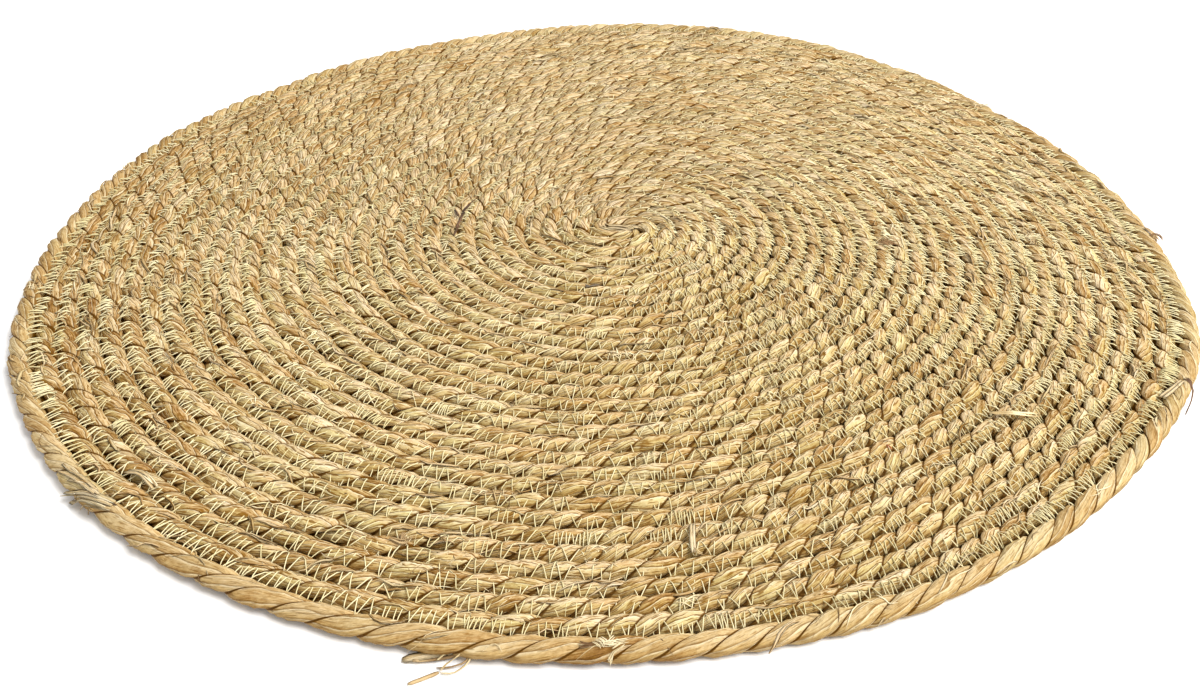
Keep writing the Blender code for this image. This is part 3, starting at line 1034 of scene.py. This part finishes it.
def straw_finish(name):
    """Dried grass: blades wrapped over each other along a strand, each with its own tone and fibre lines."""
    look = SimpleNamespace(**{**STRAW_LOOK, **OTHER_LOOKS.get(name, {})})
    made = Finish(name)
    across, along, _ = made.parts(made.node("ShaderNodeUVMap", {}, uv_map="strand").outputs[0])
    facts = made.node("ShaderNodeAttribute", {}, attribute_name="lump").outputs["Vector"]
    tone, hue, down = made.parts(facts)
    crease = made.calc("ABSOLUTE", made.calc("DIVIDE", across, HALF_SKIN))
    # The fibres turn against the lay of the strands, so they run nearly along the rope.
    beside = made.scaled(along, -look.fibre_turn, across)

    def pattern(scales, shift, *kind):
        """Noise that is drawn out along the strand."""
        where = made.vector(made.scaled(beside, scales[0], shift), made.scaled(along, scales[1]))
        return made.noise(where, 1.0, *kind)

    waver = pattern(WAVER_SCALE, 0.0, 1.0, 0.4)
    fibre = pattern(FIBRE_SCALE, 0.0, 3.0, 0.75)
    line = pattern(LINE_SCALE, made.scaled(waver, LINE_WAVER), 1.0, 0.5)
    speck_place = made.vector(made.scaled(across, SPECK_SCALE[0]), made.scaled(along, SPECK_SCALE[1]))
    speck = made.noise(speck_place, 0.9, 3.0, 0.65)

    # Blades lie like shingles, in painted light and shade: each grows lighter up to its edge, which has a
    # painted highlight and casts a painted thin shadow on the next.
    place = made.scaled(waver, BLADE_WAVER * look.blades, made.scaled(beside, look.blades))
    shingle = made.calc("FRACT", place)
    number = made.calc("FLOOR", place)
    stretch = made.calc("FLOOR", made.scaled(number, BLADE_STAGGER, made.scaled(along, BLADES_ALONG)))
    own = made.node("ShaderNodeTexWhiteNoise", {0: made.vector(number, stretch)}, noise_dimensions="2D")
    own_tone, own_hue, _ = made.parts(own.outputs["Color"])

    value = made.scaled(tone, LUMP_TONE * look.tone_reach, look.tone_middle)
    for share, reach in ((own_tone, BLADE_TONE), (shingle, SHINGLE_SHADING), (fibre, FIBRE_TONE)):
        value = made.swing(share, reach * look.tone_reach, value)
    color = made.ramp(made.swing(speck, SPECK_TONE, value, clamp=True), STRAW_STOPS)
    shift = made.swing(own_hue, BLADE_HUE, hue)
    color = made.mix(made.span(shift, 0.1, 0.9), color, GREEN_TINT, "MULTIPLY")
    color = made.mix(made.span(shift, -0.1, -0.9), color, RED_TINT, "MULTIPLY")
    tint = made.mix(made.span(down, 0.004, 0.06), look.crest_tint, SEAM_TINT)
    color = made.mix(1.0, color, tint, "MULTIPLY")
    # Light that has gone from straw to straw down the flanks is warmer.
    steep = made.calc("ABSOLUTE", down)
    color = made.mix(made.span(steep, 0.12, 0.75), color, SHADE_TINT, "MULTIPLY")
    # Painted shadow just past each blade's edge.
    color = made.mix(made.span(shingle, 0.06, 0.20, look.blade_shade, 0.0), color, PAINTED_SHADE_COLOR)
    # Painted highlight just before each blade's edge.
    color = made.mix(made.span(shingle, 0.78, 0.96, 0.0, PAINTED_HIGHLIGHT_SHARE), color, PAINTED_HIGHLIGHT_COLOR)
    color = made.mix(made.span(line, 0.565, 0.615, 0.0, look.line_shade), color, LINE_COLOR)
    # Painted shade in the crease: a thin dark line on top that opens to a dark gap at the sides, most at the
    # mat's right.
    place_right, place_back, _ = made.parts(made.place())
    opening = made.scaled(place_right, GAP_SWING * look.gap_share, GAP_OPENING * look.gap_share)
    gap = made.scaled(steep, opening, crease)
    gap_shade = made.span(gap, look.crease_starts, CREASE_DARK_FROM, 0.0, CREASE_SHADE)
    color = made.mix(gap_shade, color, PAINTED_SHADE_COLOR)
    # Painted shade: the steepest skin, at the rope's sides and beneath them, is darker.
    color = made.mix(made.span(steep, 0.65, 1.0, 0.0, 0.35), color, PAINTED_SHADE_COLOR)
    # Painted shade: the nearer to the mat's front, the darker are the rows' outer flanks.
    flank = made.scaled(place_back, -FLANK_SWING, FLANK_SHADE)
    flank = made.calc("MULTIPLY", flank, made.span(down, 0.05, 0.50), clamp=True)
    color = made.mix(flank, color, FLANK_SHADE_COLOR)
    rough = made.scaled(fibre, 0.25, look.roughness, clamp=True)
    return made.surface(color, rough, gloss=0.08, relief=made.scaled(fibre, 0.9, shingle), depth=0.0006)


def thread_finish():
    """Pale sewing thread with a little green in it."""
    made = Finish("sewing_thread")
    broad = made.noise(made.place(), 90.0)
    fine = made.noise(made.place(), 2500.0)
    color = made.ramp(made.span(broad, 0.3, 0.7), ((0.0, (0.70, 0.61, 0.33)), (1.0, (0.84, 0.76, 0.49))))
    color = made.mix(made.scaled(fine, 0.2), color, (0.60, 0.50, 0.24, 1))
    return made.surface(color, roughness=0.6, gloss=0.1, relief=fine, depth=0.0001)


def sliver_finish(name, darkest, palest):
    """Loose dry fibre, in one tone for each sliver or nearly so."""
    made = Finish(name)
    tone = made.noise(made.place(), 140.0, 1.0)
    grain = made.noise(made.place(), 1800.0)
    color = made.ramp(made.swing(grain, 0.35, made.span(tone, 0.35, 0.65)), ((0.0, darkest), (1.0, palest)))
    return made.surface(color, roughness=0.6, gloss=0.15, relief=grain, depth=0.0001)


def bed_shade_finish():
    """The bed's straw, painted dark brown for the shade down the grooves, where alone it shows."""
    made = Finish("packed_straw_in_shade")
    grain = made.noise(made.place(), 900.0, 3.0, 0.6)
    color = made.ramp(grain, ((0.3, (0.050, 0.020, 0.001)), (0.7, (0.16, 0.070, 0.006))))
    return made.surface(color, roughness=0.9, gloss=0.0, relief=grain, depth=0.0006)


def floor_finish():
    made = Finish("studio_floor")
    grain = made.noise(made.place(), 300.0)
    color = made.ramp(grain, ((0.0, (0.94, 0.94, 0.94)), (1.0, (0.96, 0.96, 0.96))))
    return made.surface(color, roughness=0.8)


def bed_piece(name, finish):
    """The mat's solid core inside the rope: a closed slab with a low rib under each turn."""
    last = round((TURNS - BED_FIRST_TURN) * BED_STEPS)
    turns = BED_FIRST_TURN + np.arange(last + 1) / BED_STEPS
    inner = last - BED_STEPS
    crests = at(turns, 0, BED_CREST)
    grooves = at(turns[: inner + 1], TURN_PITCH / 2, BED_GROOVE)
    shoulder = at(turns[inner:], BED_RIM, BED_CREST)
    foot = at(turns[inner:], BED_RIM, 2 * FLOOR_GAP)
    points = np.concatenate([crests, grooves, shoulder, foot, [(0, 0, BED_CREST)]])
    crest = np.arange(last + 1)
    groove = last + 1 + np.arange(inner + 1)
    top = groove[-1] + 1 + np.arange(BED_STEPS + 1)
    low = top[-1] + 1 + np.arange(BED_STEPS + 1)
    middle = len(points) - 1

    def strip(one, other):
        return np.stack([one[:-1], other[:-1], other[1:], one[1:]], axis=-1)

    quads = [
        strip(crest[: inner + 1], groove),
        strip(groove, crest[BED_STEPS:]),
        strip(crest[inner:], top),
        strip(top, low),
    ]
    ring = np.append(crest[: BED_STEPS + 1], groove[0])
    fan = np.stack([np.full_like(ring, middle), ring, np.roll(ring, -1)], axis=-1)
    end = np.array([[groove[inner], crest[inner], top[0], low[0], low[-1], top[-1], crest[-1]]])
    base = low[None, :-1]
    flap = np.array([[low[0], low[-2], low[-1]]])
    faces = [np.concatenate(quads), fan, end, base[:, ::-1], flap]
    return mesh_piece(name, points, faces, finish, smooth=False)


def floor_piece():
    corners = FLOOR_HALF * np.array([(-1, -1, 0), (1, -1, 0), (1, 1, 0), (-1, 1, 0)])
    return mesh_piece("floor", corners, [np.array([[0, 1, 2, 3]])], floor_finish(), smooth=False)


# The camera, fitted to the mat's outline in the photograph, which is 1200 by 686 pixels.
IMAGE_WIDTH = 1200
SENSOR_WIDTH = 36.0
CAMERA_DISTANCE = 0.36326
CAMERA_HEIGHT = 0.21757
CAMERA_PAN = math.radians(3.056)
CAMERA_TILT = math.radians(35.836)
CAMERA_ROLL = math.radians(1.686)
FOCAL_PIXELS = 1197.76
SHIFT_RIGHT_PIXELS = 72.0
SHIFT_DOWN_PIXELS = 0.66


def camera():
    data = bpy.data.cameras.new("photo_view")
    data.sensor_width = SENSOR_WIDTH
    data.lens = FOCAL_PIXELS * SENSOR_WIDTH / IMAGE_WIDTH
    data.shift_x = -SHIFT_RIGHT_PIXELS / IMAGE_WIDTH
    data.shift_y = SHIFT_DOWN_PIXELS / IMAGE_WIDTH
    data.clip_start = 0.01
    item = bpy.data.objects.new("photo_view", data)
    bpy.context.scene.collection.objects.link(item)
    level = math.cos(CAMERA_TILT)
    ahead = Vector((math.sin(CAMERA_PAN) * level, math.cos(CAMERA_PAN) * level, -math.sin(CAMERA_TILT)))
    right = Vector((math.cos(CAMERA_PAN), -math.sin(CAMERA_PAN), 0))
    up = right.cross(ahead)
    turned_right = right * math.cos(CAMERA_ROLL) + up * math.sin(CAMERA_ROLL)
    turned_up = up * math.cos(CAMERA_ROLL) - right * math.sin(CAMERA_ROLL)
    columns = Matrix((turned_right, turned_up, -ahead)).transposed()
    item.matrix_world = Matrix.Translation((0, -CAMERA_DISTANCE, CAMERA_HEIGHT)) @ columns.to_4x4()
    bpy.context.scene.camera = item


# The studio: a white room's even light, and one large soft lamp up to the right and before the mat.
ROOM_LIGHT = 0.74
LAMP_PLACE = (1.90, -0.75, 2.70)
LAMP_SIZE = 2.0
LAMP_WATTS = 168.0
LAMP_COLOR = (1.0, 0.985, 0.965)
FLOOR_HALF = 4.0


def studio():
    world = bpy.data.worlds.new("studio")
    world.use_nodes = True
    back = world.node_tree.nodes["Background"]
    back.inputs["Color"].default_value = (1, 1, 1, 1)
    back.inputs["Strength"].default_value = ROOM_LIGHT
    bpy.context.scene.world = world
    lamp = bpy.data.lights.new("key_lamp", "AREA")
    lamp.shape = "DISK"
    lamp.size = LAMP_SIZE
    lamp.energy = LAMP_WATTS
    lamp.color = LAMP_COLOR
    item = bpy.data.objects.new("key_lamp", lamp)
    item.location = LAMP_PLACE
    item.rotation_euler = (-Vector(LAMP_PLACE)).to_track_quat("-Z", "Y").to_euler()
    bpy.context.scene.collection.objects.link(item)
    bpy.context.scene.view_settings.view_transform = "Standard"


def main():
    camera()
    studio()
    inner_straw = straw_finish("straw")
    edge_straw = straw_finish("edge_straw")
    pieces = []
    for name, (first, last, spacing, per_strand) in ROPE_PIECES.items():
        finish = edge_straw if name == "rope_edge" else inner_straw
        pieces.append(rope_piece(name, first, last, spacing, per_strand, finish))
    thread = thread_finish()
    for number, (name, (first, last)) in enumerate(SEAM_PIECES.items()):
        pieces.append(seam_piece(name, first, last, thread, SEEDS.seam + number))
    slivers = {
        "stray_pale": sliver_finish("pale_sliver", (0.50, 0.36, 0.17), (0.92, 0.80, 0.52)),
        "stray_dark": sliver_finish("dark_sliver", (0.10, 0.05, 0.018), (0.34, 0.21, 0.085)),
        "stray_blade": straw_finish("loose_blade"),
    }
    for number, (name, (count, *reaches)) in enumerate(STRAY_PIECES.items()):
        is_blade = name == "stray_blade"
        pieces.append(stray_piece(name, count, *reaches, slivers[name], SEEDS.stray + number, is_blade))
    finishes = {tone: sliver_finish("fray_" + tone, *ends) for tone, ends in FRAY_TONES.items()}
    finishes["leaf"] = straw_finish("loose_leaf")
    pieces += fray_pieces("frays", FRAYS, finishes, SEEDS.frays)
    for number, (node, (name, frays)) in enumerate(zip(("straw_ribbon", "straw_stem"), FLOOR_STRAWS.items())):
        seed = SEEDS.floor + SEEDS.floor_step * number
        for piece in fray_pieces(name, frays, finishes, seed, on_mat=False):
            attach(piece, "root")
            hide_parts(node)
    bed = bed_piece("coil_bed", bed_shade_finish())
    for piece in pieces + [bed]:
        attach(piece, "root")
        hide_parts("coiled_mat")
    floor_piece()


main()
